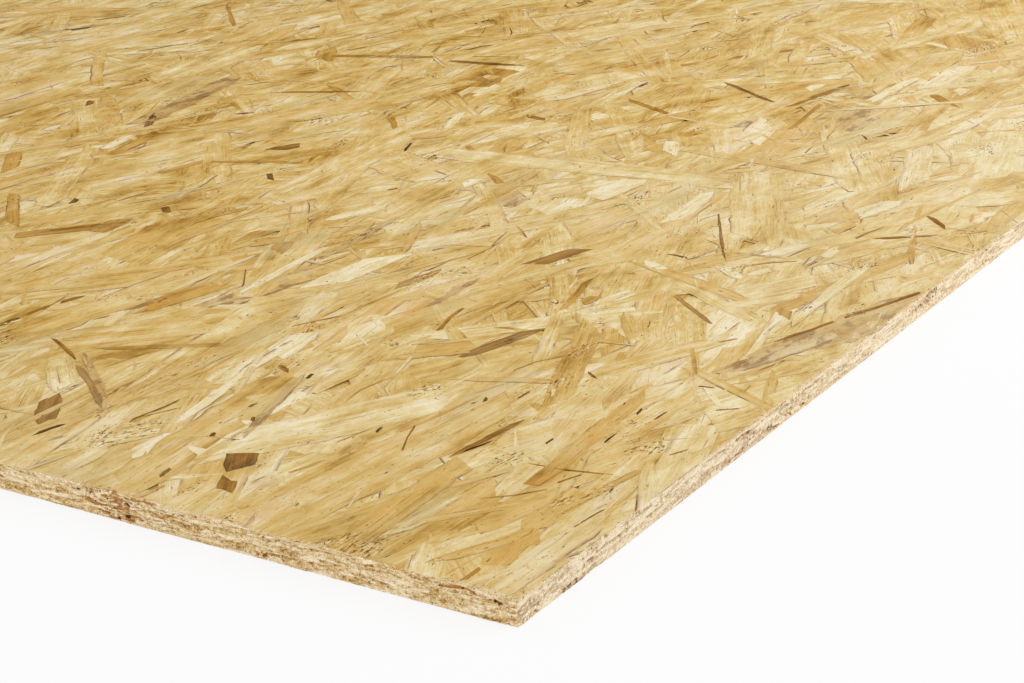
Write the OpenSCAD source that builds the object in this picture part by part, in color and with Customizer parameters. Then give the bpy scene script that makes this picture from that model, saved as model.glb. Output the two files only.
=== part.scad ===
// Oriented strand board: one pressed sheet of flat wood strands, sawn square on four sides.
// The sheet lies flat with its underside on z = 0, its long sides along X and its centre on the Z axis.
// The strands of both faces run mainly along X, the strong direction of the sheet.

/* [Sheet] */
// Length of the sheet, along the main run of the face strands
sheet_length = 2440; // [600:10:3660]
// Width of the sheet, across the main run of the face strands
sheet_width = 1220; // [300:5:1250]
// Thickness of the sheet, from face to face
sheet_thickness = 9; // [6:0.5:25]

/* [Sawn edges] */
// Wear of the sharp arris between a face and a sawn edge, measured back along both
arris_wear = 0.3; // [0.1:0.1:2]
// Wear of the four upright corners, measured back along both sawn edges
corner_wear = 0.6; // [0.2:0.1:5]

/* [Hidden] */

// Reach of the cutting prisms past the sheet, so that no faces coincide
overrun = 10;

// A rectangle centred on x and standing on y = 0, with each corner cut back by the wear.
module worn_rectangle(width, height, wear) {
    half = width / 2;
    polygon([
        [-half + wear, 0], [half - wear, 0],
        [half, wear], [half, height - wear],
        [half - wear, height], [-half + wear, height],
        [-half, height - wear], [-half, wear]
    ]);
}

// The section across the sheet, drawn out along its length.
module long_section() {
    rotate([90, 0, 90])
        linear_extrude(height = sheet_length + 2 * overrun, center = true)
            worn_rectangle(sheet_width, sheet_thickness, arris_wear);
}

// The section along the sheet, drawn out across its width.
module cross_section() {
    rotate([90, 0, 0])
        linear_extrude(height = sheet_width + 2 * overrun, center = true)
            worn_rectangle(sheet_length, sheet_thickness, arris_wear);
}

// The outline of the sheet seen from above, drawn upwards through its thickness.
module sawn_outline() {
    translate([0, -sheet_width / 2, -overrun])
        linear_extrude(height = sheet_thickness + 2 * overrun)
            worn_rectangle(sheet_length, sheet_width, corner_wear);
}

// The whole sheet: what the two sections and the sawn outline have in common.
module board() {
    color("burlywood")
        intersection() {
            long_section();
            cross_section();
            sawn_outline();
        }
}

board();
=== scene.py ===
"""Dresses one sheet of oriented strand board.

Both faces are laid with thin pressed strands, forming pass by forming pass, and the four sawn edges
show the cut ends of the strands. The solid sheet gives every overall size. X runs along the sheet and
with most strands, Y runs across it and Z runs up. Lengths are in metres, most of them written as a
number of millimetres times MM.
"""

import math

import bmesh
import bpy
import numpy as np
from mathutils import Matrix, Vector


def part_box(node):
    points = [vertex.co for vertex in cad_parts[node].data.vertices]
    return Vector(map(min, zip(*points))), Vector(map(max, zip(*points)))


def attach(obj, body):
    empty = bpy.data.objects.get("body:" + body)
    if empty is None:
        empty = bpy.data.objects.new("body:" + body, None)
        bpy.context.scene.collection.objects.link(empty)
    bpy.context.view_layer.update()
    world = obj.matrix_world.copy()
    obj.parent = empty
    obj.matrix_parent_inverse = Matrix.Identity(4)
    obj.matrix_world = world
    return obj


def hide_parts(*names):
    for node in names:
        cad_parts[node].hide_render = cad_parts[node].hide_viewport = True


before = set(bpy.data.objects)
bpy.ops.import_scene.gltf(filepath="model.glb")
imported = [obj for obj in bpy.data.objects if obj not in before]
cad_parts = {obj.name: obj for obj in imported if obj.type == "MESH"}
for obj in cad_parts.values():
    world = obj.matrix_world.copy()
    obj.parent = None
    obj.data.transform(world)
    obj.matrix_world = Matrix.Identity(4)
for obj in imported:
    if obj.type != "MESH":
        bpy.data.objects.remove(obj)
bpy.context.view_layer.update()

MM = 0.001
BODY = "root"
NODE = "board"

LOW, HIGH = (np.array(corner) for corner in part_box(NODE))
CENTRE = (LOW + HIGH) / 2
HALF = (HIGH - LOW) / 2
NEAR_CORNER = np.array([LOW[0], LOW[1], HIGH[2]])


# Camera, floor and light

# The camera: its lens and sensor in mm, its turn from Y and its downward tilt in degrees, and how
# far it stands back from the near corner, to the left of it and above it.
LENS = 76.3
SENSOR = 36.0
CAMERA_TURN = 59.34
CAMERA_TILT = 19.39
CAMERA_BACK = 545 * MM
CAMERA_SIDE = 1.7 * MM
CAMERA_RISE = 268 * MM

# The strength of the white surround.
SURROUND = 0.6
# Each wide lamp: its compass turn, height and spread in degrees, and its strength.
LAMPS = {
    "key": dict(turn=-15, height=48, strength=0.55, spread=30),
    "fill": dict(turn=-60, height=14, strength=0.95, spread=60),
    "back": dict(turn=150, height=38, strength=0.2, spread=50),
}
# The soft panel: its place and what it faces, both from the near corner, its side and its power.
PANEL_PLACE = np.array([1000, -700, 700]) * MM
PANEL_TARGET = np.array([500, 150, 0]) * MM
PANEL_SIZE = 1.0
PANEL_POWER = 7

# The floor: how far it reaches, its gap under the sheet, its grey, and how white it glows to the eye.
FLOOR_REACH = 60
FLOOR_GAP = 0.05 * MM
FLOOR_GREY = (0.86, 0.86, 0.86, 1)
WHITE = (1, 1, 1, 1)
GLOW = 0.82


def put(name, data):
    """Puts a new object with this data in the scene."""
    thing = bpy.data.objects.new(name, data)
    bpy.context.scene.collection.objects.link(thing)
    return thing


def place_camera():
    """Stands a long lens low over the near corner, looking down along the sheet."""
    data = bpy.data.cameras.new("camera")
    data.lens = LENS
    data.sensor_width = SENSOR
    data.clip_start = 10 * MM
    camera = put("camera", data)
    turn = math.radians(CAMERA_TURN)
    ahead = np.array([math.sin(turn), math.cos(turn), 0])
    right = np.array([math.cos(turn), -math.sin(turn), 0])
    rise = np.array([0, 0, CAMERA_RISE])
    camera.location = NEAR_CORNER - CAMERA_BACK * ahead - CAMERA_SIDE * right + rise
    camera.rotation_euler = (math.radians(90 - CAMERA_TILT), 0, -turn)
    bpy.context.scene.camera = camera


def add_sun(name, turn, height, strength, spread):
    """Adds a wide, even lamp that shines from a compass turn and a height, both in degrees."""
    data = bpy.data.lights.new(name, "SUN")
    data.energy = strength
    data.angle = math.radians(spread)
    lamp = put(name, data)
    lamp.rotation_euler = (math.radians(90 - height), 0, math.radians(turn))


def add_panel(place, target):
    """Adds a square soft light that stands at a place and faces a target."""
    data = bpy.data.lights.new("panel", "AREA")
    data.size = PANEL_SIZE
    data.energy = PANEL_POWER
    lamp = put("panel", data)
    lamp.location = place
    lamp.rotation_euler = Vector(place - target).to_track_quat("Z", "Y").to_euler()


def light_studio():
    """Lights the sheet with a white surround, wide lamps and a soft panel, so that colours hold."""
    world = bpy.data.worlds.new("studio")
    world.use_nodes = True
    bpy.context.scene.world = world
    surround = world.node_tree.nodes["Background"]
    surround.inputs["Color"].default_value = WHITE
    surround.inputs["Strength"].default_value = SURROUND
    for name, lamp in LAMPS.items():
        add_sun(name, **lamp)
    add_panel(NEAR_CORNER + PANEL_PLACE, NEAR_CORNER + PANEL_TARGET)


# Material building

def srgb(red, green, blue):
    """Turns a colour written as numbers from 0 to 255 into the linear colour that it stands for."""
    return tuple(((value / 255 + 0.055) / 1.055) ** 2.4 for value in (red, green, blue)) + (1.0,)


class Signal:
    """A shader output. Arithmetic on it adds the Math nodes that work the result out."""

    def __init__(self, paint, socket):
        self.paint = paint
        self.socket = socket

    def math(self, operation, first, second=0.0):
        """Adds one Math node."""
        return self.paint.node("ShaderNodeMath", {"operation": operation}, {0: first, 1: second})

    def __add__(self, other):
        return self.math("ADD", self, other)

    def __radd__(self, other):
        return self.math("ADD", other, self)

    def __sub__(self, other):
        return self.math("SUBTRACT", self, other)

    def __rsub__(self, other):
        return self.math("SUBTRACT", other, self)

    def __mul__(self, other):
        return self.math("MULTIPLY", self, other)

    def __rmul__(self, other):
        return self.math("MULTIPLY", other, self)

    def __abs__(self):
        return self.math("ABSOLUTE", self)

    def fraction(self):
        """Counts from 0 to 1 over and over."""
        return self.math("FRACT", self)

    def least(self, other):
        """Gives the smaller of two numbers."""
        return self.math("MINIMUM", self, other)

    def most(self, other):
        """Gives the greater of two numbers."""
        return self.math("MAXIMUM", self, other)

    def step(self, low, high):
        """Rises smoothly from 0 at low to 1 at high, or falls where low is the greater."""
        return self.paint.node(
            "ShaderNodeMapRange", {"interpolation_type": "SMOOTHSTEP"},
            {"Value": self, "From Min": low, "From Max": high})


# The colour sockets of a Mix node: its share, the colours under and over, and the result.
MIX_SHARE, MIX_UNDER, MIX_OVER, MIX_RESULT = 0, 6, 7, 2


class Paint:
    """One material. Each of its nodes comes from node(), and arithmetic comes from Signal."""

    def __init__(self, name):
        self.material = bpy.data.materials.new(name)
        self.material.use_nodes = True
        self.tree = self.material.node_tree
        self.tree.nodes.clear()

    def node(self, kind, settings=None, inputs=None, output=0):
        """Adds a node, makes its settings, fills or links its sockets and gives one of its outputs."""
        node = self.tree.nodes.new(kind)
        for name, value in (settings or {}).items():
            if name == "stops":
                self.set_stops(node.color_ramp, value)
            else:
                setattr(node, name, value)
        for name, value in (inputs or {}).items():
            if isinstance(value, Signal):
                self.tree.links.new(value.socket, node.inputs[name])
            else:
                node.inputs[name].default_value = value
        return Signal(self, node.outputs[output]) if node.outputs else None

    def set_stops(self, ramp, stops):
        """Gives a colour ramp its stops, each a place from 0 to 1 and a colour."""
        places, colours = zip(*stops)
        for place in places[2:]:
            ramp.elements.new(place)
        for element, place, colour in zip(ramp.elements, places, colours):
            element.position = place
            element.color = colour

    def split(self, vector):
        """Gives the three parts of a vector."""
        return [self.node("ShaderNodeSeparateXYZ", None, {0: vector}, part) for part in range(3)]

    def place(self):
        """Gives the three parts of a point's place in the sheet's own frame."""
        return self.split(self.node("ShaderNodeTexCoord", None, None, "Object"))

    def map(self, name):
        """Gives the two parts of one of the piece's own UV maps."""
        return self.split(self.node("ShaderNodeUVMap", {"uv_map": name}))[:2]

    def attribute(self, name):
        """Gives the three parts of a vector stored on the piece's points."""
        return self.split(self.node("ShaderNodeAttribute", {"attribute_name": name}, None, "Vector"))

    def noise(self, x, y, z=0.0, detail=2.0, roughness=0.5, distortion=0.0):
        """Gives cloudy noise around 0, whose blots are one unit of x and y across."""
        place = self.node("ShaderNodeCombineXYZ", None, {0: x, 1: y, 2: z})
        blots = self.node("ShaderNodeTexNoise", None, {
            "Vector": place, "Scale": 1.0, "Detail": detail, "Roughness": roughness,
            "Distortion": distortion})
        return blots - 0.5

    def cells(self, x, y):
        """Gives uneven cells about one unit of x and y across: a number for each, and how deep in it."""
        place = self.node("ShaderNodeCombineXYZ", None, {0: x, 1: y})
        flat = {"voronoi_dimensions": "2D"}
        rims = {"voronoi_dimensions": "2D", "feature": "DISTANCE_TO_EDGE"}
        inputs = {"Vector": place, "Scale": 1.0}
        number = self.split(self.node("ShaderNodeTexVoronoi", flat, inputs, "Color"))[0]
        return number, self.node("ShaderNodeTexVoronoi", rims, inputs)

    def ramp(self, value, stops):
        """Gives the colour that stands at a value along a row of stops."""
        return self.node("ShaderNodeValToRGB", {"stops": stops}, {0: value})

    def coat(self, colour, *coats):
        """Lays coats over a colour one by one, each a share from 0 to 1 and a colour."""
        settings = {"data_type": "RGBA", "clamp_factor": True}
        for share, over in coats:
            sockets = {MIX_SHARE: share, MIX_UNDER: colour, MIX_OVER: over}
            colour = self.node("ShaderNodeMix", settings, sockets, MIX_RESULT)
        return colour

    def finish(self, colour, roughness, gloss, height, depth):
        """Puts colour, roughness and a relief of the given depth in metres on the surface."""
        bump = self.node("ShaderNodeBump", None, {
            "Strength": 1.0, "Distance": depth, "Height": height})
        shader = self.node("ShaderNodeBsdfPrincipled", None, {
            "Base Color": colour, "Roughness": roughness, "Normal": bump,
            "Specular IOR Level": gloss})
        self.node("ShaderNodeOutputMaterial", None, {0: shader})
        return self.material


# Materials

# The pressed faces: the tones of the wood from dark to pale, the tone that strands melt into, how
# little each surface shines, and the coats that are laid over the wood.
WOOD_TONES = (
    (0.00, srgb(76, 44, 8)),
    (0.18, srgb(134, 92, 24)),
    (0.36, srgb(178, 136, 58)),
    (0.52, srgb(204, 168, 92)),
    (0.68, srgb(219, 190, 121)),
    (0.84, srgb(231, 212, 160)),
    (1.00, srgb(244, 233, 202)),
)
COMMON_TONE = 0.68
FACE_GLOSS = 0.002
BED_GLOSS = 0.06
SAWN_GLOSS = 0.02
SAWN_ROUGHNESS = 0.85
AMBER = srgb(207, 148, 55)
DUSTY_GREY = srgb(186, 154, 114)
FILM_GREY = srgb(202, 186, 136)
PITCH_BROWN = srgb(72, 38, 6)
RESIN_BROWN = srgb(152, 98, 30)
STAIN_BROWN = srgb(136, 96, 56)
TAWNY = srgb(194, 130, 62)
PALE = srgb(238, 224, 184)
FRAYED = srgb(236, 214, 178)
# Painted sheen: the pale veil that the broad light drift lays over the faces.
PAINTED_SHEEN = srgb(222, 208, 172)
# Dark brown for the rims of strands, partly brown resin and bark at the edge and partly painted shade
# between strands.
RIM_BROWN_AND_SHADE = srgb(112, 66, 22)
SCORCH_BROWN = srgb(150, 108, 48)


def strand_paint():
    """Pressed pine strand: streaks, amber bands and cracks along the grain, torn pale patches.

    Clouds, grey film, veins and nests of crumbs run on from strand to strand, because the press
    worked them all alike, and in places a strand takes on the common tone and melts into the next.
    A broad drift of painted sheen and shade runs over it all, and brown rims that are partly painted
    shade line the strands.
    """
    paint = Paint("pressed_strand")
    along, across = paint.map("grain")
    run, side = paint.map("span")
    tone, warmth, grey = paint.attribute("look")
    rings, bleach, grit = paint.attribute("marks")
    length, width, melt = paint.attribute("size")
    x, y = paint.place()[:2]

    # Light and dark along the grain, and in clouds that run over all strands.
    bands = paint.noise(along * 9, across * 150, 0.0, 2.0, 0.6)
    streaks = paint.noise(along * 24, across * 700, 3.0, 3.0, 0.7)
    fibres = paint.noise(along * 80, across * 2200, 7.0, 2.0, 0.6)
    cloud = paint.noise(x * 30, y * 60, 5.0, 4.0, 0.7)
    patch = paint.noise(x * 11, y * 26, 1.0, 2.0)
    # Painted light: a broad drift pales the wood like a sheen in wide patches and darkens it between
    # them.
    painted_light_drift = paint.noise(x * 2.6, y * 2.6, 135.0, 1.0)
    own = (tone - COMMON_TONE) * (1 - melt * patch.step(-0.15, 0.07)) + painted_light_drift * 0.25
    texture = bands * 0.75 + streaks * 0.55 + fibres * 0.35 + cloud * 1.15 + patch * 0.55
    colour = paint.ramp(own + COMMON_TONE + texture * (tone + 0.42), WOOD_TONES)

    # Growth rings, amber and grey films, smudges, scorched and stained places.
    bend = paint.noise(along * 6, across * 30, 9.0, 1.0)
    ring = (across * 330 + bend * 12).fraction()
    latewood = ring.step(0.2, 0.8) * ring.step(1.0, 0.9)
    amber = (bands + streaks * 0.5 + patch * 0.6).step(0.04, 0.24)
    veins = paint.noise(x * 16, y * 80, 6.0, 3.0, 0.65, 0.6).step(0.1, 0.24)
    film = paint.noise(x * 10, y * 30, 8.0, 3.0, 0.6).step(0.04, 0.22)
    smudges = paint.noise(along * 60, across * 240, 27.0, 3.0, 0.65).step(0.07, 0.25)
    scorch = paint.noise(x * 14, y * 42, 33.0, 4.0, 0.65).step(0.1, 0.28)
    blotches = paint.noise(x * 50, y * 120, 18.0, 4.0, 0.7).step(0.0, 0.09) * grey.step(0.25, 0.5)
    colour = paint.coat(
        colour,
        (latewood * rings * (0.7 + bands * 2.0), AMBER),
        (warmth * (cloud + streaks + 0.4).step(0.15, 0.75), AMBER),
        (amber * (0.25 + warmth * 0.4), AMBER),
        (veins * (0.5 + streaks * 2.0), AMBER),
        (film * tone * 0.75, FILM_GREY),
        (smudges * 0.6, TAWNY),
        (scorch * (0.45 + bands), SCORCH_BROWN),
        (grey * (0.8 + cloud + streaks), DUSTY_GREY),
        (blotches * 0.8, STAIN_BROWN))

    # Torn and peeled pale places, and the painted sheen of the broad light drift, which pales the wood
    # and adds pale patches where it is high.
    torn = paint.noise(along * 34, across * 190, 13.0, 3.0, 0.6)
    # Pale patches, partly peeled wood and partly painted sheen where the light drift is high.
    peeled_and_sheen = (paint.noise(x * 24, y * 60, 10.0, 3.0, 0.6) + painted_light_drift * 0.5).step(0.1, 0.24)
    flecks = paint.noise(along * 70, across * 800, 15.0, 1.0).step(0.14, 0.3)
    colour = paint.coat(
        colour,
        (bleach * torn.step(-0.12, 0.1), PALE),
        (peeled_and_sheen * (torn + streaks).step(-0.1, 0.2) * 0.7, PALE),
        # Painted sheen: a pale veil where the light drift is high.
        (painted_light_drift.step(-0.12, 0.3) * tone * 0.45, PAINTED_SHEEN),
        (flecks * 0.35, PALE))

    # Cracks, resin lines and pitch pockets along the grain.
    cracks = paint.noise(along * 30, across * 1100, 17.0, 2.0, 0.6).step(0.15, 0.24)
    lines = paint.noise(along * 14, across * 420, 23.0, 2.0, 0.5).step(0.19, 0.27)
    pockets = paint.noise(along * 150, across * 620, 19.0, 2.0, 0.6)
    colour = paint.coat(
        colour,
        (cracks * 0.6, RESIN_BROWN),
        (lines * (0.35 + streaks * 2.0), RESIN_BROWN),
        (pockets.step(0.17, 0.27) * 0.55, RESIN_BROWN),
        (pockets.step(0.21, 0.27) * 0.85, PITCH_BROWN))

    # Resin brown and painted shade round the strand's outline: the dark rims and the brown lining stand
    # partly for resin and bark at the edge and partly for the shade in the narrow gaps between strands.
    side_gap = width * (0.5 - abs(side - 0.5))
    end_gap = length * (0.5 - abs(run - 0.5))
    resin_and_shade_lining = side_gap.step(2.2 * MM, 0.2 * MM) * (bands + cloud).step(-0.02, 0.2)
    side_rim_and_shade = side_gap.step(0.9 * MM, 0.1 * MM) * (bands + cloud).step(0.1, 0.25)
    end_rim_and_shade = end_gap.step(1.2 * MM, 0.2 * MM) * (torn + cloud).step(0.08, 0.26)
    colour = paint.coat(
        colour,
        (resin_and_shade_lining * 0.45, RESIN_BROWN),
        (side_rim_and_shade.most(end_rim_and_shade) * 0.85, RIM_BROWN_AND_SHADE))

    # Crumbs, loose and in nests, with pale fuzz between them.
    nests = (paint.noise(x * 26, y * 50, 2.0, 3.0, 0.65) + grit * 0.06).step(0.07, 0.22)
    dashes = paint.noise(along * 200, across * 900, 25.0, 2.0, 0.6)
    crumbs = paint.noise(x * 560, y * 1000, 4.0, 2.0, 0.6)
    marks = dashes.most(crumbs) + nests * 0.104
    specks = marks.step(0.2, 0.26)
    colour = paint.coat(
        colour,
        (nests * (dashes + crumbs).step(-0.02, -0.2) * 0.5, PALE),
        (marks.step(0.14, 0.22) * 0.5, RESIN_BROWN),
        (specks * 0.8, PITCH_BROWN))

    # Frayed pale fibres and brown chaff where the saw ran along.
    to_sawn_end = float(HALF[0]) - abs(x - float(CENTRE[0]))
    to_sawn_side = float(HALF[1]) - abs(y - float(CENTRE[1]))
    to_saw = to_sawn_end.least(to_sawn_side * 2)
    by_saw = (to_saw + cloud * 8 * MM).step(3.5 * MM, 0.3 * MM)
    chaff = paint.noise(x * 1500, y * 1500, 30.0, 2.0, 0.6)
    frayed = (by_saw + chaff * 2.2 + crumbs).step(0.55, 0.95)
    colour = paint.coat(
        colour,
        (frayed * 0.6, FRAYED),
        (by_saw * (chaff - crumbs).step(0.1, 0.2) * 0.8, RESIN_BROWN))

    roughness = 0.5 + cloud * 0.3 - fibres * 0.25 - bleach * 0.1
    height = fibres * 0.5 + streaks * 0.8 + bands * 1.0 - cracks * 0.5 - pockets.step(0.2, 0.3) * 0.8
    return paint.finish(colour, roughness, FACE_GLOSS, height - specks * 0.3, 0.25 * MM)


def bed_paint():
    """Deep bed between the strands: broken flakes and glue, in a middle tone darker than the faces that
    is partly painted shade in the gaps.
    """
    paint = Paint("deep_bed")
    x, y, z = paint.place()
    flakes = paint.noise(x * 90, y * 500, z * 500, 3.0)
    crumbs = paint.noise(x * 900, y * 1400, z * 1400, 2.0)
    # The middle tone, under the faces' common tone, darkens the gaps: painted shade.
    colour = paint.ramp(0.5 + flakes * 0.6 + crumbs * 0.5, WOOD_TONES)
    return paint.finish(colour, 0.75 + crumbs * 0.4, BED_GLOSS, flakes + crumbs, 0.3 * MM)


# The sawn edges: the tones of the cut flakes from dark to pale, and the coats over them.
SAWN_TONES = (
    (0.00, srgb(110, 70, 24)),
    (0.25, srgb(168, 126, 66)),
    (0.50, srgb(210, 176, 118)),
    (0.75, srgb(234, 208, 158)),
    (1.00, srgb(252, 236, 206)),
)
RUST_BROWN = srgb(172, 110, 44)
# Dark brown for crumbs and for painted shade in the pits of the cut.
PIT_SHADE_AND_CRUMB_BROWN = srgb(96, 58, 16)
CHALKY = srgb(214, 203, 181)


def sawn_paint():
    """Sawn edge: granular cut flake ends in thin wavy layers, pale splinters, brown crumbs, and pits
    darkened with painted shade.
    """
    paint = Paint("sawn_edge")
    along, up = paint.map("sawn")
    tone, pit_shade, cut_across = paint.attribute("look")

    wave = paint.noise(along * 30, up * 80, 28.0, 2.0, 0.6) * 3 * MM
    rest = 1 - cut_across
    flake, seam = paint.cells(along * (cut_across * 150 + 5), (up + wave) * 950)
    layers = paint.noise(along * 50, up * 850, 0.0, 3.0, 0.65, 0.4)
    grain = paint.noise(along * 520, up * 760, 4.0, 3.0, 0.75)
    dust = paint.noise(along * 2000, up * 2200, 8.0, 1.0)
    # The pits of the cut feed the nests, so that rust and dark brown gather in them: painted shade in
    # the recesses.
    nests = paint.noise(along * 18, up * 90, 12.0, 3.0, 0.65) * (1 + rest * 3) + pit_shade * 0.3
    texture = (flake - 0.5) * 0.45 + layers * (0.5 - rest) + grain * (2.2 + nests * 2) + dust
    colour = paint.ramp(tone + texture * (1.05 + rest * 1.4), SAWN_TONES)

    splinters = paint.noise(along * 38, (up + wave) * 900, 16.0, 2.0).step(0.11, 0.19)
    flakes = paint.noise(along * 160, (up + wave) * 700, 20.0, 2.0, 0.7)
    rust = (flakes * 0.9 + nests * 0.8).step(0.1, 0.2)
    seams = seam.step(0.1, 0.03) * (grain + flakes).step(-0.1, 0.2)
    crumbs = paint.noise(along * 420, up * 650, 24.0, 3.0, 0.7)
    crumbs_and_pit_shade = (crumbs + nests * 0.55).step(0.15, 0.23)
    colour = paint.coat(
        colour,
        (splinters * 0.85, PALE),
        (rust * 0.85, RUST_BROWN),
        (seams * 0.5, RUST_BROWN),
        (rest * 1.1, CHALKY),
        (crumbs_and_pit_shade * (0.9 - rest * 0.3), PIT_SHADE_AND_CRUMB_BROWN))
    height = layers * 0.5 + flake * 0.3 + grain + dust * 0.6 - crumbs_and_pit_shade * 0.4
    return paint.finish(colour, SAWN_ROUGHNESS, SAWN_GLOSS, height, 0.35 * MM)


def floor_paint():
    """Pale matt floor that is near white to the eye and still takes the sheet's shadow."""
    paint = Paint("studio_floor")
    matt = paint.node("ShaderNodeBsdfDiffuse", None, {"Color": FLOOR_GREY})
    white = paint.node("ShaderNodeEmission", None, {"Color": WHITE, "Strength": 1.0})
    seen, mirrored, through = (
        paint.node("ShaderNodeLightPath", None, None, "Is %s Ray" % way)
        for way in ("Camera", "Glossy", "Transmission"))
    share = seen.most(mirrored).most(through) * GLOW
    surface = paint.node("ShaderNodeMixShader", None, {0: share, 1: matt, 2: white})
    paint.node("ShaderNodeOutputMaterial", None, {0: surface})
    return paint.material


# Meshes

def in_strand(dx, dy, turn):
    """Turns places on the sheet, counted from a strand's middle, into places along and across it."""
    along = dx * np.cos(turn) + dy * np.sin(turn)
    across = dy * np.cos(turn) - dx * np.sin(turn)
    return along, across


def sweep_faces(bodies, stations, sides):
    """Gives the faces of bodies that each carry a closed section of points over their stations."""
    ring = np.arange(sides)
    first = np.arange(stations - 1)[:, None] * sides + ring
    second = np.arange(stations - 1)[:, None] * sides + np.roll(ring, -1)
    quads = np.stack([first, first + sides, second + sides, second], axis=-1).reshape(-1, 4)
    caps = np.stack([ring, (stations - 1) * sides + ring[::-1]])
    offset = np.arange(bodies)[:, None, None] * stations * sides
    return (quads + offset).reshape(-1, 4), (caps + offset).reshape(-1, sides)


def make_mesh(name, points, faces):
    """Makes a mesh of points, an array, and faces, a list of lists of point numbers."""
    mesh = bpy.data.meshes.new(name)
    mesh.from_pydata(points, [], faces)
    mesh.update()
    return mesh


def read(items, field, size, kind=np.float32):
    """Reads a field of a mesh's items into one row, with size numbers for each item."""
    values = np.empty(len(items) * size, kind)
    items.foreach_get(field, values)
    return values


def corner_points(mesh):
    """Gives the point number of each face corner."""
    return read(mesh.loops, "vertex_index", 1, np.int32)


def add_map(mesh, name, places):
    """Adds a UV map from one place for each face corner."""
    layer = mesh.uv_layers.new(name=name)
    layer.uv.foreach_set("vector", np.asarray(places, np.float32).ravel())


def add_vectors(mesh, name, values):
    """Stores three numbers on each point."""
    layer = mesh.attributes.new(name, "FLOAT_VECTOR", "POINT")
    layer.data.foreach_set("vector", np.asarray(values, np.float32).ravel())


def add_piece(name, mesh, material):
    """Puts a finished mesh in the scene as a piece of the sheet."""
    mesh.materials.append(material)
    piece = put(name, mesh)
    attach(piece, BODY)
    return piece


# Strands

FIELDS = (
    "kind", "x", "y", "turn", "length", "width", "thickness", "depth", "tilt", "roll", "bow",
    "tone", "warmth", "grey", "bleach", "rings", "grit", "melt",
)
STRAND = np.dtype([(field, float) for field in FIELDS])

# What each strand's points tell its paint, three numbers at a time.
STRAND_VECTORS = {
    "look": ("tone", "warmth", "grey"),
    "marks": ("rings", "bleach", "grit"),
    "size": ("length", "width", "melt"),
}

# Each kind of strand: its range of length and of width in mm, how much its corners are cut back
# at the ends from 0 to 1, how slanted its ends are, the share of it that lies anyhow across the
# others, and its number of stations along the grain.
KINDS = {
    "broad": dict(length=(80, 145), width=(14, 32), taper=0.45, slant=0.8, crossed=0.05, stations=8),
    "middling": dict(length=(60, 135), width=(6, 14), taper=0.65, slant=1.1, crossed=0.10, stations=7),
    "narrow": dict(length=(30, 110), width=(2, 6), taper=0.9, slant=1.5, crossed=0.16, stations=5),
    "chip": dict(length=(8, 34), width=(2.5, 12), taper=0.4, slant=1.0, crossed=0.50, stations=4),
    "splinter": dict(length=(6, 34), width=(0.5, 1.8), taper=0.9, slant=1.5, crossed=0.06, stations=3),
}
COARSE = {"broad": 0.75, "middling": 0.25}
MIXED = {"broad": 0.26, "middling": 0.36, "narrow": 0.25, "chip": 0.13}
FINE = {"broad": 0.10, "middling": 0.30, "narrow": 0.37, "chip": 0.23}
LOOSE = {"splinter": 1.0}

# Forming passes from the deepest to the last: how many times each would cover the sheet, its mix
# of kinds, the depths in mm under the face between which its strands lie, and how finely its
# outlines are drawn, as a share of the stations above.
UPPER_PASSES = (
    (1.25, COARSE, (0.34, 0.42), 0.6),
    (0.60, MIXED, (0.26, 0.36), 0.7),
    (0.50, MIXED, (0.20, 0.31), 0.9),
    (0.46, MIXED, (0.16, 0.26), 1.0),
    (0.42, MIXED, (0.12, 0.22), 1.0),
    (0.38, MIXED, (0.08, 0.18), 1.2),
    (0.30, MIXED, (0.05, 0.14), 1.4),
    (0.22, FINE, (0.02, 0.10), 1.4),
    (0.040, LOOSE, (0.02, 0.07), 1.0),
)
LOWER_PASSES = (
    (1.25, COARSE, (0.30, 0.40), 0.6),
    (0.60, MIXED, (0.20, 0.32), 0.7),
    (0.50, MIXED, (0.12, 0.24), 0.9),
    (0.36, MIXED, (0.04, 0.16), 1.0),
    (0.015, LOOSE, (0.02, 0.07), 1.0),
)

# Each strand colour: how light, how warm, how grey and how much torn pale it is, each from 0 to 1,
# then its share of the wide strands, of the narrow ones and chips, and of the splinters.
HUES = {
    "white": (0.85, 0.00, 0.00, 0.75, 0.003, 0.006, 0.08),
    "cream": (0.77, 0.00, 0.00, 0.22, 0.126, 0.156, 0.30),
    "straw": (0.70, 0.05, 0.00, 0.05, 0.407, 0.380, 0.215),
    "honey": (0.64, 0.15, 0.00, 0.00, 0.320, 0.260, 0.12),
    "gold": (0.57, 0.35, 0.00, 0.00, 0.130, 0.120, 0.10),
    "ochre": (0.44, 0.45, 0.00, 0.00, 0.010, 0.038, 0.08),
    "rust": (0.31, 0.50, 0.00, 0.00, 0.000, 0.012, 0.05),
    "umber": (0.16, 0.20, 0.08, 0.00, 0.000, 0.006, 0.025),
    # A near-black hue: the drawn strands of it are dark pitch splinters and chips, while the picked ones
    # are painted shade, dark slits laid where gaps between strands are in shade.
    "pitch": (0.02, 0.00, 0.00, 0.00, 0.000, 0.003, 0.01),
    "grey": (0.58, 0.00, 0.44, 0.10, 0.004, 0.016, 0.01),
    "bark": (0.27, 0.05, 0.20, 0.00, 0.000, 0.003, 0.01),
    "ashen": (0.74, 0.00, 0.14, 0.30, 0.000, 0.000, 0.00),
}
SHARE_COLUMNS = {"broad": 4, "middling": 4, "narrow": 5, "chip": 5, "splinter": 6}

# How hues vary from strand to strand, and how strong growth rings get.
HUE_SPREADS = {"tone": 0.045, "warmth": 0.10, "grey": 0.03, "bleach": 0.06}
RING_STRENGTH = 0.45

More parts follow.
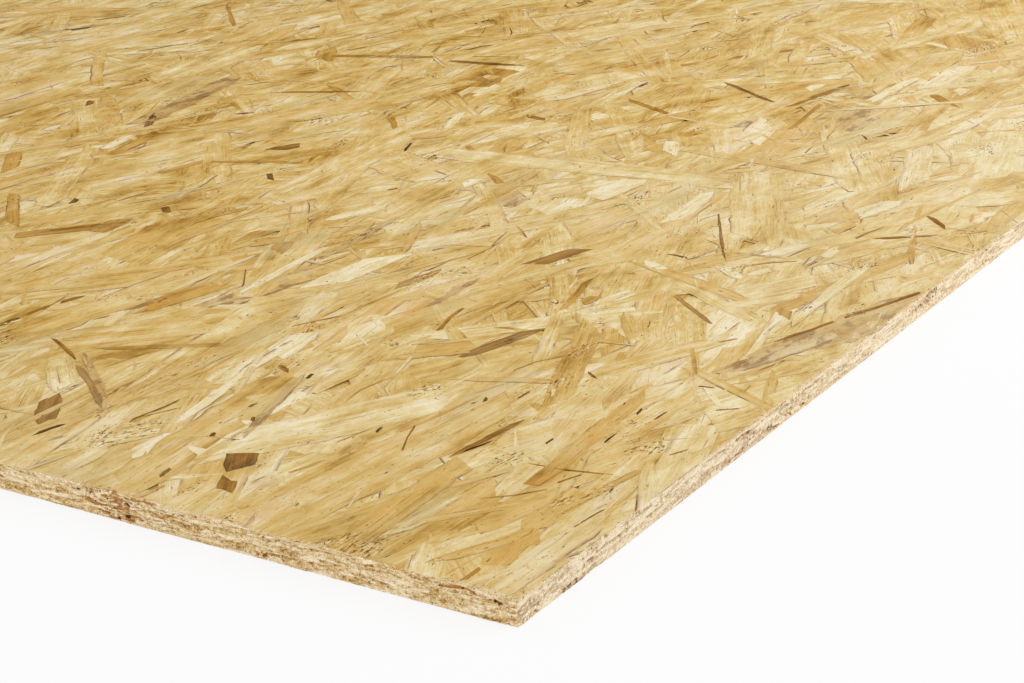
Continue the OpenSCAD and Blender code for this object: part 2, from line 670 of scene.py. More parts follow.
# How strands lie: the spread of their turns in degrees, two steps that never come round to the same
# place, how much of its length times its width a strand covers, how far past the outline
# they are laid, their range of thickness in mm, and the spreads of tilt and roll in mm and of bow as
# a share of the length. A thin one bows more.
LAID_SPREAD = 23
GOLDEN_STEPS = np.array([0.7548776662, 0.5698402910])
FILL = 0.86
OVERHANG = 20 * MM
THICKNESSES = (0.4, 0.75)
LOOSE_LIE = (0.04, 0.02, 0.012)
THIN_WIDTH = 2 * MM
THIN_BOW = 3

# The pressed face: its highest points lie a crest under the sheet's face, softly held there.
CREST = 0.012 * MM
SOFTNESS = 0.03 * MM
END_DIP = 0.05 * MM
UNEVEN = 0.03 * MM

# The saw: how far it leaves single strands short of the short sides and of the long ones, how deep
# it bites into groups of them, and how long a bite is.
RAGGED_SAW = np.array([2.5, 0.7, 0]) * MM
BITE_DEPTHS = np.array([2.8, 0.4]) * MM
BITE_STEP = 9 * MM

# Under a picked strand, others sink by a step and a share of their depth, but some narrow ones don't.
SUNK_STEP = 0.04 * MM
SUNK_SHARE = 0.4
SPARED_WIDTH = 6 * MM
SPARED_SHARE = 0.2


def spread_points(count, rng):
    """Spreads points evenly over a unit square: each is the last one plus two golden steps."""
    return np.mod(rng.random(2) + np.arange(count)[:, None] * GOLDEN_STEPS, 1)


def colour_strands(strands, names, rng):
    """Gives each strand its named hue, a little varied, then its growth rings and its grit.

    A plain strand, which is neither dark nor grey nor torn, also melts into its neighbours.
    """
    count = len(strands)
    hues = np.array([HUES[name][:4] for name in names]).reshape(count, 4)
    for (field, spread), hue in zip(HUE_SPREADS.items(), hues.T):
        strands[field] = hue + rng.normal(0, spread, count)
    for field in ("warmth", "grey", "bleach"):
        strands[field] = strands[field].clip(0, 1)
    strands["rings"] = rng.random(count) ** 4 * RING_STRENGTH * (1 - strands["bleach"])
    strands["grit"] = rng.random(count) ** 2
    tone, _, grey, bleach = hues.T
    plain = (tone > 0.4) & (grey < 0.2) & (bleach < 0.5)
    strands["melt"] = rng.random(count) ** 0.6 * plain


def vary_lie(strands, spreads, rng):
    """Tilts, rolls and bows each strand a little, by spreads in mm, in mm and as a share of length."""
    for field, spread, unit in zip(("tilt", "roll", "bow"), spreads, (MM, MM, 1)):
        strands[field] = rng.normal(0, spread, len(strands)) * unit


def draw_kind(kind, count, depths, rng):
    """Draws strands of one kind, with their sizes, places, turns and colours."""
    shape = KINDS[kind]
    strands = np.zeros(count, STRAND)
    places = spread_points(count, rng) * 2 - 1
    strands["kind"] = list(KINDS).index(kind)
    strands["x"] = CENTRE[0] + places[:, 0] * (HALF[0] + OVERHANG)
    strands["y"] = CENTRE[1] + places[:, 1] * (HALF[1] + OVERHANG)
    strands["turn"] = np.radians(rng.normal(0, LAID_SPREAD, count))
    crossed = rng.random(count) < shape["crossed"]
    strands["turn"][crossed] = rng.uniform(0, np.pi, crossed.sum())
    strands["length"] = rng.uniform(*shape["length"], count) * MM
    strands["width"] = rng.uniform(*shape["width"], count) * MM
    strands["thickness"] = rng.uniform(*THICKNESSES, count) * MM
    strands["depth"] = -rng.uniform(*depths, count) * MM
    vary_lie(strands, LOOSE_LIE, rng)
    strands["bow"][strands["width"] < THIN_WIDTH] *= THIN_BOW
    shares = [hue[SHARE_COLUMNS[kind]] for hue in HUES.values()]
    colour_strands(strands, rng.choice(list(HUES), count, p=shares), rng)
    return strands


def draw_pass(cover, shares, depths, rng):
    """Draws all strands of a forming pass that would cover the sheet the given number of times."""
    footprint = sum(
        share * np.mean(KINDS[kind]["length"]) * np.mean(KINDS[kind]["width"])
        for kind, share in shares.items()) * FILL * MM * MM
    total = cover * 4 * (HALF[0] + OVERHANG) * (HALF[1] + OVERHANG) / footprint
    return np.concatenate([
        draw_kind(kind, int(total * share), depths, rng) for kind, share in shares.items()])


def carry_strands(strands, kind, stations, rng):
    """Carries a flat three-cornered section along each strand: two top corners, one under them.

    With u from -1 to 1 along the strand and v = -1 or 1 for its two sides, a top point lies
    length/2 u + width/2 v slant |u|^5 along the strand, width/2 v (1 - cut u^6) +
    bow length (u^2 - 0.3) across it, a little ragged, and depth + tilt u + roll v - dip u^6 above
    the face, uneven by a few hundredths of a millimetre and held softly below the face. The bottom
    point lies the strand's thickness under their middle. Also gives each point's place: how far
    along and across the strand it is, from 0 to 1, and 0 on the top or 1 on the bottom.
    """
    shape = KINDS[kind]
    count = len(strands)
    length, width, thickness, depth, tilt, roll, bow, turn = (
        strands[field][:, None, None]
        for field in ("length", "width", "thickness", "depth", "tilt", "roll", "bow", "turn"))
    u = np.linspace(-1, 1, stations)[None, :, None] * np.ones((count, 1, 2))
    u[:, 1:-1] += rng.uniform(-0.5, 0.5, (count, stations - 2, 1)) / stations
    v = np.array([-1.0, 1.0]) * np.ones_like(u)
    cuts = rng.random((count, 2, 2)) ** 1.2 * shape["taper"]
    slants = rng.normal(0, shape["slant"], (count, 2)).clip(-1.6, 1.6)
    cut = np.where(u > 0, cuts[:, 1, None], cuts[:, 0, None])
    slant = np.where(u > 0, slants[:, 1, None, None], slants[:, 0, None, None])
    rough = np.minimum(0.035 * width + 0.15 * MM, 0.15 * width)
    ragged = rng.normal(0, 1, u.shape) * rough * (length / stations / (8 * MM)).clip(0.3, 1)
    s = length / 2 * u + width / 2 * v * slant * np.abs(u) ** 5
    w = width / 2 * v * (1 - cut * u ** 6) + bow * length * (u ** 2 - 0.3) + ragged
    raw = depth + tilt * u + roll * v - END_DIP * u ** 6 + rng.normal(0, UNEVEN, u.shape)
    top = -SOFTNESS * np.logaddexp(0, -raw / SOFTNESS) - CREST
    upper = np.stack([s, w, top], axis=-1)
    lower = upper.mean(axis=2, keepdims=True) - np.stack(
        [0 * thickness, 0 * thickness, thickness], axis=-1)
    local = np.concatenate([upper, lower], axis=2)
    points = local.copy()
    points[..., 0] = strands["x"][:, None, None] + local[..., 0] * np.cos(turn) - (
        local[..., 1] * np.sin(turn))
    points[..., 1] = strands["y"][:, None, None] + local[..., 0] * np.sin(turn) + (
        local[..., 1] * np.cos(turn))
    places = np.zeros_like(points)
    places[..., 0] = (u[..., :1] + 1) / 2
    places[..., 1] = (0.0, 1.0, 0.5)
    places[..., 2] = (0.0, 0.0, 1.0)
    return points.reshape(count, stations * 3, 3), places.reshape(count, stations * 3, 3)


def trim_strands(points, places, owners, faces, inset):
    """Saws off what lies past the sheet's outline, each strand a hair short of it by its inset.

    The strands are first shifted out by their insets, cut at the four sides and shifted back.
    """
    mesh = make_mesh("trimming", points + inset[owners], faces)
    add_vectors(mesh, "place", places)
    owner_layer = mesh.attributes.new("owner", "FLOAT", "POINT")
    owner_layer.data.foreach_set("value", owners.astype(np.float32))
    work = bmesh.new()
    work.from_mesh(mesh)
    for axis in (0, 1):
        for way in (-1, 1):
            normal = np.zeros(3)
            normal[axis] = way
            cut = bmesh.ops.bisect_plane(
                work, geom=work.verts[:] + work.edges[:] + work.faces[:], dist=1e-7,
                plane_co=CENTRE + normal * HALF[axis], plane_no=normal, clear_outer=True)
            rim = [item for item in cut["geom_cut"] if isinstance(item, bmesh.types.BMEdge)]
            bmesh.ops.holes_fill(work, edges=rim, sides=0)
    work.to_mesh(mesh)
    work.free()
    points = read(mesh.vertices, "co", 3).reshape(-1, 3)
    places = read(mesh.attributes["place"].data, "vector", 3).reshape(-1, 3)
    owners = np.rint(read(mesh.attributes["owner"].data, "value", 1)).astype(int)
    faces = [list(face.vertices) for face in mesh.polygons]
    bpy.data.meshes.remove(mesh)
    return points - inset[owners], places, owners, faces


def eased(knots, place):
    """Runs smoothly through random heights that stand one unit apart along the last axis."""
    first = place.astype(int)
    share = (1 - np.cos(np.pi * (place - first))) / 2
    return np.take_along_axis(knots, first, -1) * (1 - share) + np.take_along_axis(
        knots, first + 1, -1) * share


def bite_ends(strands, bites):
    """Gives how far the saw tore each strand back from the short and from the long sides.

    bites holds two rows of random heights, one along the short sides and one along the long ones,
    and a strand takes the height where its middle line meets the side.
    """
    middle = np.stack([strands["x"], strands["y"]], axis=-1) - CENTRE[:2]
    heading = np.stack([np.cos(strands["turn"]), np.sin(strands["turn"])], axis=-1)
    to_side = (HALF[:2] - np.abs(middle)) / np.abs(heading).clip(0.1)
    to_side = np.minimum(to_side, strands["length"][:, None] / 2)
    meeting = middle[:, ::-1] + np.sign(middle * heading) * to_side * heading[:, ::-1]
    place = (meeting.T + HALF.max() + OVERHANG) / BITE_STEP
    return (eased(bites, place.clip(0, bites.shape[1] - 2)) * 2 - 1).clip(0, 1).T * BITE_DEPTHS


def lay_mat(strands, fineness, bites, rng):
    """Gives the points, places, owning strands and faces of all strands, sawn off at the outline."""
    from_centre = np.stack([strands["x"], strands["y"], 0 * strands["x"]], axis=-1) - CENTRE
    inset = rng.random((len(strands), 3)) ** 2 * RAGGED_SAW
    inset[:, :2] += bite_ends(strands, bites)
    inset *= np.sign(from_centre)
    parts = []
    for number, kind in enumerate(KINDS):
        members = np.flatnonzero(strands["kind"] == number)
        stations = round(KINDS[kind]["stations"] * fineness)
        points, places = carry_strands(strands[members], kind, stations, rng)
        reach = np.abs(points + inset[members][:, None] - CENTRE)[..., :2]
        beyond = (reach > HALF[:2]).any(axis=(1, 2))
        for crossing in (False, True):
            chosen = beyond == crossing
            if not chosen.any():
                continue
            quads, caps = sweep_faces(chosen.sum(), stations, 3)
            owners = np.repeat(members[chosen], points.shape[1])
            part = (points[chosen].reshape(-1, 3), places[chosen].reshape(-1, 3), owners,
                    quads.tolist() + caps.tolist())
            parts.append(trim_strands(*part, inset) if crossing else part)
    faces = []
    total = 0
    for part in parts:
        faces.extend([total + point for point in face] for face in part[3])
        total += len(part[0])
    return [np.concatenate([part[item] for part in parts]) for item in range(3)] + [faces]


# Laid out flat for painting: the gap round each strand, how far its walls fold out, and the size of
# the patch that the hidden undersides share. Faces that turn inwards beyond the last value are hidden.
PAINT_GAP = 1.3 * MM
WALL_FOLD = 0.5 * MM
PATCH_SCALE = 0.01
TURNED_IN = -0.7
GRAIN_REACH = 6


def shelve(lengths, heights):
    """Lays boxes on shelves in a square, the tallest first.

    Box after box goes along one line that is cut into equal shelves, and a shelf is as tall as its
    first box. Gives each box's corner and the side of the square.
    """
    order = np.argsort(-heights)
    reach = np.cumsum(lengths[order]) - lengths[order]
    side = math.sqrt((lengths * heights).sum())
    tall = side + 1
    while tall > side:
        side *= 1.01
        run = side - lengths.max()
        shelf = (reach // run).astype(int)
        starts = np.searchsorted(shelf, np.arange(shelf[-1] + 1))
        rise = heights[order][starts.clip(0, len(order) - 1)]
        tall = rise.sum()
    corners = np.empty((len(lengths), 2))
    corners[order, 0] = reach - shelf * run
    corners[order, 1] = (np.cumsum(rise) - rise)[shelf]
    return corners, side


def unfold_strands(count, owners, local, level, corners, hidden):
    """Lays every strand out flat for painting, its walls folded outwards round its top.

    The undersides, which nothing shows, share one small patch in the corner.
    """
    low = np.full((count, 2), np.inf)
    high = np.full((count, 2), -np.inf)
    np.minimum.at(low, owners, local)
    np.maximum.at(high, owners, local)
    low[np.isinf(low)] = 0
    high[np.isinf(high)] = 0
    margin = PAINT_GAP + WALL_FOLD
    boxes = high - low + 2 * margin
    shelves, side = shelve(boxes[:, 0], boxes[:, 1])
    reach = (local - (low + high)[owners] / 2) / (high - low)[owners].clip(MM * MM)
    outwards = reach / np.linalg.norm(reach, axis=1)[:, None].clip(MM * MM)
    flat = shelves[owners] + local - low[owners] + margin + outwards * WALL_FOLD * level[:, None]
    flat = flat[corners]
    patch = (local - low[owners])[corners] * PATCH_SCALE
    flat[hidden] = patch[hidden]
    return flat / side


def finish_mat(name, strands, parts, material, upward, rng):
    """Turns a mat into one piece, on the upper face or, turned over, on the underside.

    The grain of each strand starts at a random place, and runs along and across the strand from it.
    """
    points, places, owners, faces = parts
    offset = points[:, :2] - np.stack([strands["x"], strands["y"]], axis=-1)[owners]
    local = np.stack(in_strand(*offset.T, strands["turn"][owners]), axis=-1)
    if upward:
        points = points + np.array([0, 0, HIGH[2]])
    else:
        points = points * np.array([1, 1, -1]) + np.array([0, 0, LOW[2]])
        faces = [face[::-1] for face in faces]
    mesh = make_mesh(name, points, faces)
    corners = corner_points(mesh)
    normals = read(mesh.polygons, "normal", 3)
    sizes = read(mesh.polygons, "loop_total", 1, np.int32)
    turned_in = normals[2::3] * (1 if upward else -1) < TURNED_IN
    hidden = np.repeat(turned_in, sizes)
    start = rng.uniform(0, GRAIN_REACH, (len(strands), 2))
    add_map(mesh, "grain", (local + start[owners])[corners])
    add_map(mesh, "span", places[corners][:, :2])
    add_map(mesh, "OFBake", unfold_strands(
        len(strands), owners, local, places[:, 2], corners, hidden))
    for name_of_three, fields in STRAND_VECTORS.items():
        add_vectors(mesh, name_of_three, np.stack([strands[field] for field in fields], axis=-1)[owners])
    return add_piece(name, mesh, material)


def sink_under(strands, picked, rng):
    """Lowers the strands that cross a picked strand, so that it lies on top of all but a few.

    A strand crosses where one of seven points along its middle line lies within the picked one's
    length, and within half of both widths of its middle line.
    """
    lowered = (strands["width"] > SPARED_WIDTH) | (rng.random(len(strands)) > SPARED_SHARE)
    run = np.linspace(-0.5, 0.5, 7)[None, :] * strands["length"][:, None]
    x = strands["x"][:, None] + run * np.cos(strands["turn"])[:, None]
    y = strands["y"][:, None] + run * np.sin(strands["turn"])[:, None]
    for strand in picked:
        s, w = in_strand(x - strand["x"], y - strand["y"], strand["turn"])
        reach = (strand["width"] + strands["width"][:, None]) / 2
        crosses = lowered & ((np.abs(s) < strand["length"] / 2) & (np.abs(w) < reach)).any(axis=1)
        lower = strand["depth"] - SUNK_STEP + strands["depth"][crosses] * SUNK_SHARE
        strands["depth"][crosses] = np.minimum(strands["depth"][crosses], lower)


# Strands that stand out on the upper face, round the near corner. Each has its middle along and
# across the sheet from that corner in mm, its turn in degrees, its length and width in mm and its hue.
# The near-black pieces among them are painted shade: dark slits put where gaps between strands lie in
# shade.
PICKED = (
    (68, 89, -4, 135, 26, "honey"),
    (88, 120, -25, 85, 24, "cream"),
    (38, 64, 3, 78, 11, "gold"),
    (43, 129, 31, 15, 10.5, "umber"),
    (24, 120, 31, 9, 6, "umber"),
    (58, 154, 8, 110, 18, "honey"),
    (22, 143, 10, 8, 1.6, "pitch"),
    (88, 149, 17, 62, 3.5, "grey"),
    (91, 69, -15, 13, 0.9, "pitch"),
    (99, 70, -5, 38, 2.5, "rust"),
    (110, 95, -7, 42, 1.6, "ochre"),
    (8, 20, 0, 9, 1.5, "rust"),
    (24, 27, -25, 30, 5, "gold"),
    (31, 8, -1, 64, 11, "ashen"),
    (78, 17, -8, 45, 3, "gold"),
    (52, 31, -12, 34, 8, "gold"),
    (59, 10, -5, 16, 0.7, "umber"),
    (146, 38, 10, 6, 1.0, "pitch"),
    (107, 51, 0, 5, 0.9, "pitch"),
    (83, 30, -20, 10, 0.8, "umber"),
    (120, 10, -22, 8, 0.7, "umber"),
    (169, 69, 51, 7, 1.2, "umber"),
    (146, 30, -1, 9, 0.8, "pitch"),
    (165, 130, -45, 26, 14, "gold"),
    (60, 22, 0, 32, 10, "gold"),
    (182, 115, -12, 42, 6, "bark"),
    (185, 113, 0, 7, 3, "pitch"),
    (150, 92, -65, 36, 5, "gold"),
    (172, 23, 40, 20, 2.5, "white"),
    (202, 45, 29, 30, 1.6, "ochre"),
    (275, 7, -15, 100, 20, "grey"),
    (228, 20, -17, 64, 9, "grey"),
    (277, 15, -17, 87, 2, "umber"),
    (230, 212, -3, 46, 13, "white"),
    (215, 238, 6, 70, 4, "white"),
    (299, 260, -15, 30, 8, "white"),
    (370, 244, 5, 14, 6, "white"),
    (142, 181, 10, 26, 12, "white"),
    (84, 172, 11, 50, 4, "white"),
    (127, 180, 5, 38, 5, "white"),
    (109, 176, 24, 42, 3, "cream"),
    (100, 198, 0, 142, 10, "honey"),
    (45, 213, 35, 24, 8, "bark"),
    (70, 216, 52, 44, 3, "bark"),
    (79, 222, 50, 46, 3, "grey"),
    (115, 220, -53, 46, 4, "gold"),
    (122, 240, -40, 56, 22, "straw"),
    (288, 150, -12, 30, 8, "bark"),
    (254, 71, 49, 36, 2.2, "bark"),
    (286, 87, 68, 64, 8, "gold"),
    (349, 104, 28, 70, 1.2, "umber"),
    (280, 218, 24, 44, 4, "ochre"),
    (244, 111, 0, 10, 5, "rust"),
    (389, 35, -48, 26, 3, "umber"),
    (418, 32, 42, 20, 3, "umber"),
    (166, 252, -10, 40, 12, "ochre"),
    (155, 257, -8, 26, 3, "bark"),
    (55, 150, 20, 4, 1.6, "pitch"),
    (73, 147, 30, 4, 1.4, "pitch"),
    (83, 155, 0, 4, 1.4, "pitch"),
    (117, 155, 15, 5, 1.3, "pitch"),
    (87, 105, 10, 5, 1.1, "pitch"),
    (129, 89, 20, 4, 1.3, "pitch"),
    (140, 80, 0, 8, 0.8, "pitch"),
    (179, 29, -82, 5, 1.0, "pitch"),
    (163, 13, -49, 8, 0.8, "pitch"),
    (31, 200, -10, 12, 1.8, "pitch"),
    (119, 168, 60, 7, 2.5, "umber"),
    (422, 212, 99, 150, 24, "straw"),
    (404, 112, 25, 114, 25, "straw"),
    (395, 180, -5, 38, 14, "white"),
    (385, 136, 6, 53, 8, "white"),
    (295, 107, 60, 17, 6, "white"),
    (305, 79, 50, 16, 6, "white"),
    (311, 68, -17, 11, 5, "white"),
    (345, 72, -15, 24, 9, "cream"),
    (296, 54, -27, 37, 15, "cream"),
    (425, 63, -13, 32, 11, "white"),
    (254, 103, -10, 15, 7, "white"),
    (303, 33, 2, 90, 5.5, "cream"),
    (278, 51, -33, 31, 9, "cream"),
    (351, 54, 1, 15, 5, "white"),
    (562, 52, 13, 127, 20, "cream"),
    (530, 169, 10, 44, 16, "white"),
    (639, 185, 0, 14, 7, "white"),
    (672, 111, 0, 14, 7, "white"),
    (491, 53, -20, 12, 6, "white"),
    (248, 119, 14, 41, 3, "ochre"),
    (506, 197, 0, 14, 6, "ochre"),
    (567, 110, 0, 12, 6, "ochre"),
    (314, 107, -98, 9, 1.5, "pitch"),
    (478, 193, 25, 26, 8, "white"),
    (495, 196, 28, 30, 12, "gold"),
    (609, 211, 54, 54, 3.5, "umber"),
    (634, 173, -8, 42, 4, "umber"),
    (604, 176, -6, 32, 3, "rust"),
    (572, 161, 8, 60, 2.5, "rust"),
    (645, 112, 42, 28, 6, "umber"),
    (550, 243, 62, 37, 4, "rust"),
    (497, 282, 80, 12, 5, "umber"),
    (454, 144, -40, 14, 7, "gold"),
    (510, 93, 10, 16, 8, "gold"),
    (532, 169, -4, 50, 14, "cream"),
    (594, 62, -48, 26, 2.5, "ochre"),
    (268, 237, 6, 66, 4, "grey"),
    (232, 184, -9, 26, 5, "bark"),
    (225, 162, 3, 40, 3, "grey"),
    (268, 38, 20, 9, 5, "rust"),
    (332, 78, -79, 22, 2.5, "grey"),
    (353, 211, 4, 22, 12, "grey"),
    (213, 354, -36, 46, 9, "rust"),
    (216, 353, -36, 26, 3.5, "umber"),
    (228, 342, 8, 22, 9, "rust"),
    (107, 289, 0, 12, 2.5, "umber"),
    (123, 289, 0, 14, 2.5, "umber"),
    (140, 287, -12, 10, 2.5, "umber"),
    (95, 250, 60, 26, 1.6, "umber"),
    (72, 231, 45, 26, 11, "cream"),
    (345, 437, 14, 30, 7, "white"),
    (347, 428, 12, 50, 7, "ochre"),
    (442, 467, 13, 128, 13, "grey"),
    (390, 453, 32, 28, 4, "umber"),
    (398, 487, 45, 66, 9, "gold"),
    (404, 507, 35, 10, 4, "umber"),
    (488, 417, -57, 46, 4, "rust"),
    (348, 354, -60, 42, 4, "rust"),
    (322, 378, -8, 28, 5, "ochre"),
    (380, 357, -20, 14, 8, "umber"),
    (250, 382, 25, 7, 3, "pitch"),
    (290, 457, 38, 36, 8, "ochre"),
    (226, 397, 42, 52, 6, "ochre"),
    (240, 258, 20, 14, 8, "rust"),
    (260, 337, 45, 10, 4, "umber"),
    (330, 331, 40, 12, 3, "umber"),
    (225, 311, 10, 70, 28, "honey"),
    (470, 316, 20, 44, 5, "white"),
    (599, 377, -78, 42, 6, "umber"),
    (572, 470, 30, 34, 12, "ochre"),
    (584, 440, -62, 60, 7, "rust"),
    (668, 264, -5, 44, 9, "gold"),
    (140, 271, -6, 120, 20, "honey"),
    (352, 250, 4, 110, 16, "honey"),
    (196, 58, -20, 60, 12, "honey"),
)
# A picked strand is broad or middling from these widths in mm on, and a chip where its length is
# less than this many widths. It lies a first depth in mm under the face, and deeper by its width.
KIND_WIDTHS = (15, 6.5)
CHIP_SHAPE = 2.5
PICKED_THICKNESS = 0.5 * MM
PICKED_DEPTHS = (0.03, 0.004)
PICKED_LIE = (0.015, 0.01, 0.006)
PICKED_MELT = 0.4


def pick_strands(rng):
    """Gives the picked strands in the sheet's own frame, the narrow ones on top."""
    strands = np.zeros(len(PICKED), STRAND)
    along, across, turn, length, width = np.array([row[:5] for row in PICKED]).T
    short = length < CHIP_SHAPE * width
    strands["kind"] = np.where(short, list(KINDS).index("chip"), np.digitize(width, KIND_WIDTHS))
    strands["x"] = NEAR_CORNER[0] + along * MM
    strands["y"] = NEAR_CORNER[1] + across * MM
    strands["turn"] = np.radians(turn)
    strands["length"] = length * MM
    strands["width"] = width * MM
    strands["thickness"] = PICKED_THICKNESS
    strands["depth"] = -(PICKED_DEPTHS[0] + PICKED_DEPTHS[1] * width) * MM
    vary_lie(strands, PICKED_LIE, rng)
    colour_strands(strands, [row[5] for row in PICKED], rng)
    strands["melt"] *= PICKED_MELT
    return strands


def lay_faces(material, rng):
    """Lays both faces pass by pass, and the picked strands on top of the upper one last."""
    picked = pick_strands(np.random.default_rng(PICK_SEED))
    bites = rng.random((2, int(2 * (HALF.max() + OVERHANG) / BITE_STEP) + 2))
    for side, upward, passes in (("top", True, UPPER_PASSES), ("under", False, LOWER_PASSES)):
        for number, (cover, shares, depths, fineness) in enumerate(passes, 1):
            strands = draw_pass(cover, shares, depths, rng)
            if upward:
                sink_under(strands, picked, rng)
            name = "strands_%s_%d" % (side, number)
            finish_mat(name, strands, lay_mat(strands, fineness, bites, rng), material, upward, rng)
    finish_mat("strands_top_picked", picked, lay_mat(picked, 2, bites, rng), material, True, rng)


# Sawn edges

# The section of a sawn edge: its rows of points and the step between sections, how deep it runs in,
# how far its shoulder does, its margins under the faces in front and behind, how much its layers
# wave, how long a cut is on average, how worn the upright corners are, and the middle tone of a cut.
EDGE_ROWS = 11
EDGE_STEP = 1.0 * MM
SKIN_DEPTH = 5.5 * MM
SHOULDER = 1.1 * MM
SKIN_MARGIN = 0.2 * MM
BACK_MARGIN = 0.5 * MM
WAVE_HEIGHT = 0.7 * MM
CUT_LENGTH = 9 * MM
CORNER_WEAR = 0.5 * MM
CUT_TONE = 0.71
# How torn each edge is: the short ones cross most strands and the long ones run with them.
EDGES = (
    ("edge_short_near", (-1, 0, 0), 1.0),
    ("edge_short_far", (1, 0, 0), 1.0),
    ("edge_long_near", (0, -1, 0), 0.6),
    ("edge_long_far", (0, 1, 0), 0.6),
)


def mottle(rng, rows, x, step):
    """Gives each row its own smooth random curve from 0 to 1 along x, with a knot every step."""
    place = np.broadcast_to((x - x.min()) / step, (rows, x.shape[-1]))
    return eased(rng.random((rows, int(place.max()) + 2)), place)


def saw_edge(name, outward, torn, material, rng):
    """Cuts one edge: a section of wavy layers of strand ends, carried along the edge.

    Layer by layer the face steps back by up to half a millimetre, differently for each strand that
    the saw met, by up to 1.2 mm more in pits where strands have gaps between them, and by up to half
    a millimetre more within a few millimetres of the corners. On top the section goes on inwards as
    a rough shoulder, which shows between the ragged strand ends. Behind it is closed by a plain
    back, and its ends are mitred at the corners.
    """
    outward = np.array(outward, float)
    run = np.cross((0, 0, 1), outward)
    reach = np.abs(run) @ HALF
    along = np.linspace(-reach, reach, int(2 * reach / EDGE_STEP) + 1)
    share = np.linspace(0, 1, EDGE_ROWS)[:, None]
    height = HIGH[2] - LOW[2] - 2 * SKIN_MARGIN
    layer = LOW[2] + SKIN_MARGIN + height * share
    wave = (mottle(rng, 1, along, 24 * MM) + mottle(rng, 1, along, 7 * MM) - 1) * WAVE_HEIGHT
    up = layer + wave * np.sin(np.pi * share)

    cells = (along / CUT_LENGTH + 3 * mottle(rng, EDGE_ROWS, along, 30 * MM)).astype(int)
    cells -= cells.min()
    step = np.take_along_axis(rng.random((EDGE_ROWS, cells.max() + 1)), cells, -1)
    loose = mottle(rng, 1, along, 26 * MM) + mottle(rng, EDGE_ROWS, along, 9 * MM)
    grit = rng.random(step.shape)
    pits = ((loose - 1.25 + 0.16 * torn) * 3).clip(0, 1) * grit ** 2
    recess = (0.05 + 0.22 * torn * step ** 2 + 0.14 * torn * grit + 1.2 * pits) * MM
    recess += CORNER_WEAR * np.exp((np.abs(along) - reach) / MM)
    back = np.full((1, len(along)), SKIN_DEPTH)
    shoulder = recess[-1:] + SHOULDER * (1 + grit[:1])
    depth = np.concatenate([recess, shoulder, back - MM, back])
    layer = np.concatenate([layer, layer[-1:] + SHOULDER, layer[-1:] + SKIN_DEPTH, layer[:1]])
    slump = 0.1 * MM * (1 + 2 * grit[1:2])
    up = np.concatenate([up, up[-1:] - slump, up[-1:] - slump - BACK_MARGIN / 2, up[:1] + BACK_MARGIN])

    places = run * (along * (1 - depth / reach))[..., None]
    points = places + outward * (np.abs(outward) @ HALF - depth)[..., None] + CENTRE
    points[..., 2] = up
    sides = len(up)
    quads, caps = sweep_faces(1, len(along), sides)
    points = points.transpose(1, 0, 2).reshape(-1, 3)
    mesh = make_mesh(name, points, quads.tolist() + caps.tolist())
    corners = corner_points(mesh)
    flat = np.stack([np.broadcast_to(along, up.shape), np.broadcast_to(layer, up.shape)], axis=-1)
    add_map(mesh, "sawn", flat.transpose(1, 0, 2).reshape(-1, 2)[corners])
    add_map(mesh, "OFBake", fold_strip(len(along), sides))
    tone = CUT_TONE + 0.2 * (step - 0.5)
    # The pits go on to the paint too, which darkens them with painted shade.
    look = np.stack([tone, pits, np.full(tone.shape, torn)], axis=-1)
    look = np.concatenate([look, look[-1:], look[-1:], look[:1]])
    add_vectors(mesh, "look", look.transpose(1, 0, 2).reshape(-1, 3))
    return add_piece(name, mesh, material)


# How high a row is painted, as a share of how long a station is.
ROW_SHARE = 0.7


def fold_strip(stations, sides):
    """Cuts a long swept strip into lengths that fill a square, for painting.

    One unit is one station along and one row across, with a free row between the lengths. The two
    end caps get one corner of the square.
    """
    rise = (sides + 1) * ROW_SHARE
    lengths = math.ceil(math.sqrt((stations - 1) / rise))
    run = math.ceil((stations - 1) / lengths)
    station = np.arange(stations - 1)[:, None, None] + np.array([0, 1, 1, 0])
    row = np.arange(sides)[None, :, None] + np.array([0, 0, 1, 1])
    length = np.arange(stations - 1)[:, None, None] // run
    u = (station - length * run) / run + 0 * row
    v = (length * (sides + 1) + row) / (lengths * (sides + 1))
    caps = np.zeros((2 * sides, 2))
    return np.concatenate([np.stack([u, v], axis=-1).reshape(-1, 2), caps])


# Bed behind the strands

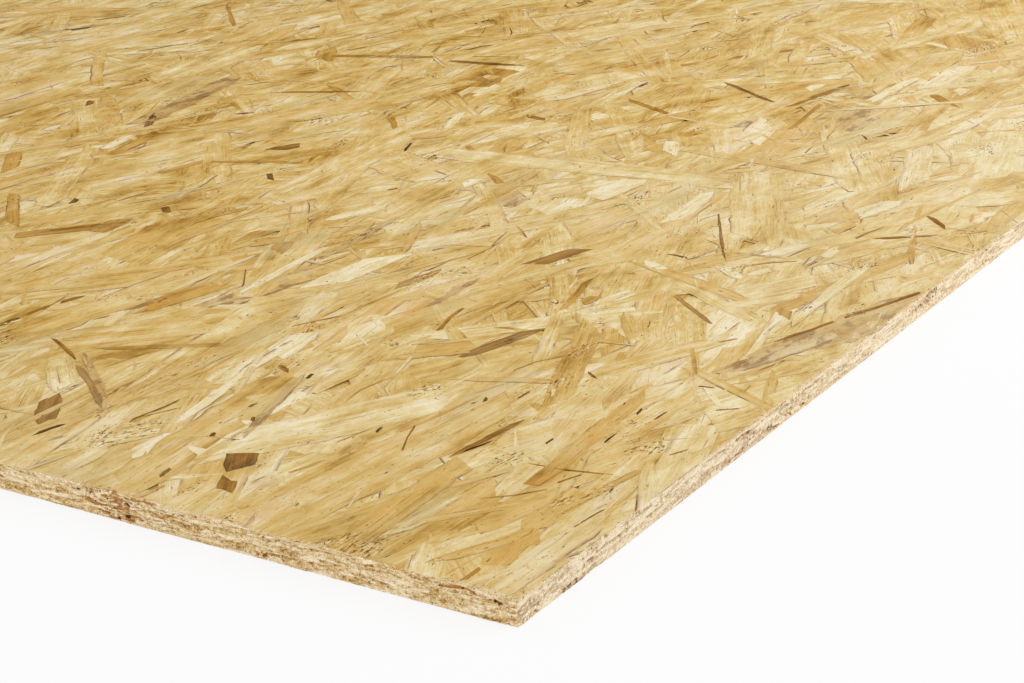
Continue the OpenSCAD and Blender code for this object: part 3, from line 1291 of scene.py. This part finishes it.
# The bed: how far it lies under both faces and inside the four edges, and its rows of points.
BED_DEPTH = 0.8 * MM
BED_INSET = 2 * MM
BED_ROWS = 40
BED_STATIONS = 80


def press_bed(material, rng):
    """Makes the solid bed that shows through gaps: a flat section with a rough top and bottom.

    The section has a row of points across the bottom and one back across the top, each up to a
    tenth of a millimetre off its plane, and is carried along the sheet.
    """
    inner = HALF - BED_INSET
    across = np.linspace(-inner[1], inner[1], BED_ROWS)
    along = np.linspace(-inner[0], inner[0], BED_STATIONS)
    y = np.concatenate([across, across[::-1]])
    z = np.repeat([LOW[2] + BED_DEPTH, HIGH[2] - BED_DEPTH], BED_ROWS)
    points = np.zeros((BED_STATIONS, 2 * BED_ROWS, 3))
    points[..., 0] = CENTRE[0] + along[:, None]
    points[..., 1] = CENTRE[1] + y
    points[..., 2] = z + rng.uniform(-0.1, 0.1, points.shape[:2]) * MM
    quads, caps = sweep_faces(1, BED_STATIONS, 2 * BED_ROWS)
    mesh = make_mesh("board_core", points.reshape(-1, 3), quads.tolist() + caps.tolist())
    add_map(mesh, "OFBake", fold_strip(BED_STATIONS, 2 * BED_ROWS))
    piece = add_piece("board_core", mesh, material)
    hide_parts(NODE)


def lay_floor():
    """Lays a wide pale floor under the sheet."""
    points = np.array([[-1, -1, 0], [1, -1, 0], [1, 1, 0], [-1, 1, 0]]) * FLOOR_REACH
    mesh = make_mesh("floor", points + np.array([0, 0, LOW[2] - FLOOR_GAP]), [[0, 1, 2, 3]])
    mesh.materials.append(floor_paint())
    put("floor", mesh)


# Each of these draws its own random numbers, so that a change to one leaves the others as they are.
STRAND_SEED = 9
PICK_SEED = 3
SAW_SEED = 4

bpy.context.scene.view_settings.view_transform = "Standard"
place_camera()
light_studio()
lay_floor()
draws = np.random.default_rng(STRAND_SEED)
press_bed(bed_paint(), draws)
lay_faces(strand_paint(), draws)
saw_draws = np.random.default_rng(SAW_SEED)
sawn = sawn_paint()
for edge_name, outward_way, tear in EDGES:
    saw_edge(edge_name, outward_way, tear, sawn, saw_draws)
